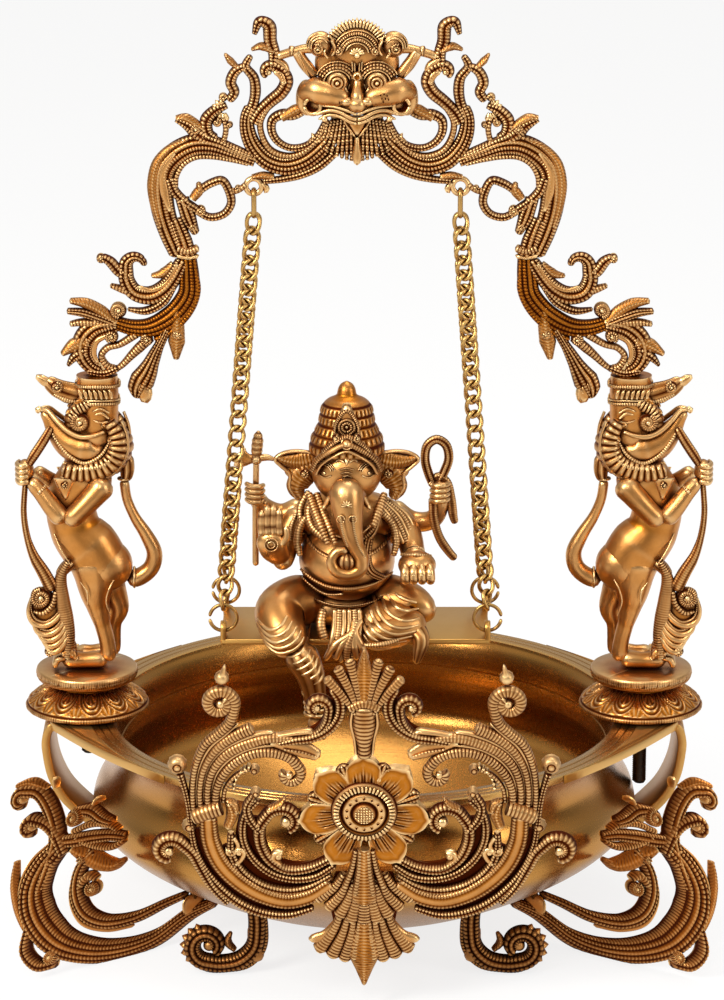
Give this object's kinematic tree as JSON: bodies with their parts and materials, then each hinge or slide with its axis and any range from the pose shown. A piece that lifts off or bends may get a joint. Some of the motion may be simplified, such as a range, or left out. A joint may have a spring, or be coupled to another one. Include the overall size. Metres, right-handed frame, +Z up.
{
  "type": "urli bowl with swing",
  "caption": "Footed brass urli bowl with a cast arch on beast pillars, from which a seated figure hangs on a chain swing over the bowl.",
  "frame": {"origin": "on the floor, under the middle of the bounding box and the bowl", "axes": "+Z up, the figure and the rosette ornament face -Y, the arch spans along X"},
  "size_m": [0.406, 0.4074, 0.5329],
  "materials": {
    "polished_brass": "polished cast and turned brass with dark recesses",
    "antique_brass": "antique cast brass, reddish patina in the recesses",
    "dark_brass": "dark brown patinated cast brass",
    "dark_steel": "blackened threaded steel"
  },
  "bodies": {
    "stand": {"urli_bowl": "polished_brass", "handle_left": "polished_brass", "handle_right": "polished_brass", "pedestal_left": "antique_brass", "stud_left": "dark_steel", "stud_nut_left": "polished_brass", "pedestal_right": "antique_brass", "stud_right": "dark_steel", "stud_nut_right": "polished_brass", "yali_left": "polished_brass", "yali_right": "polished_brass", "arch_wing_left": "antique_brass", "arch_wing_right": "antique_brass", "arch_crown": "antique_brass", "front_ornament": "polished_brass", "ornament_screw_left": "polished_brass", "ornament_screw_right": "polished_brass", "side_leg_left": "dark_brass", "side_leg_right": "dark_brass", "back_leg": "dark_brass", "curl_foot_left": "dark_brass", "curl_foot_right": "dark_brass", "leg_screw_left": "polished_brass", "leg_screw_right": "polished_brass", "leg_screw_back": "polished_brass", "foot_screw_left": "polished_brass", "foot_screw_right": "polished_brass"},
    "hangers": {"hanging_link_left": "polished_brass", "hanging_link_right": "polished_brass"},
    "left_hanger": {"chain_left_front": "polished_brass", "chain_left_back": "polished_brass", "ring_left_front": "polished_brass", "ring_left_back": "polished_brass"},
    "right_hanger": {"chain_right_front": "polished_brass", "chain_right_back": "polished_brass", "ring_right_front": "polished_brass", "ring_right_back": "polished_brass"},
    "seat": {"swing_plank": "polished_brass", "ganesha": "antique_brass", "seat_screw_1": "polished_brass", "seat_screw_2": "polished_brass"}
  },
  "joints": [
    {"name": "swing", "type": "hinge", "parent": "stand", "child": "hangers", "pos_m": [-0.004, 0, 0.4291], "axis": [1, 0, 0], "range_deg": [-15, 15]},
    {"name": "left_sway", "type": "hinge", "parent": "hangers", "child": "left_hanger", "pos_m": [-0.063, 0, 0.4155], "axis": [0, 1, 0], "range_deg": [-6, 6]},
    {"name": "right_sway", "type": "hinge", "parent": "hangers", "child": "right_hanger", "pos_m": [0.055, 0, 0.4155], "axis": [0, 1, 0], "range_deg": [-6.5, 6.5]},
    {"name": "seat_level", "type": "hinge", "parent": "left_hanger", "child": "seat", "pos_m": [-0.08185, 0, 0.184], "axis": [0, 1, 0], "range_deg": [-5, 5]}
  ],
  "couplings": [
    {"joint": "right_sway", "follows": "left_sway", "ratio": 1},
    {"joint": "seat_level", "follows": "left_sway", "ratio": -0.7677}
  ]
}
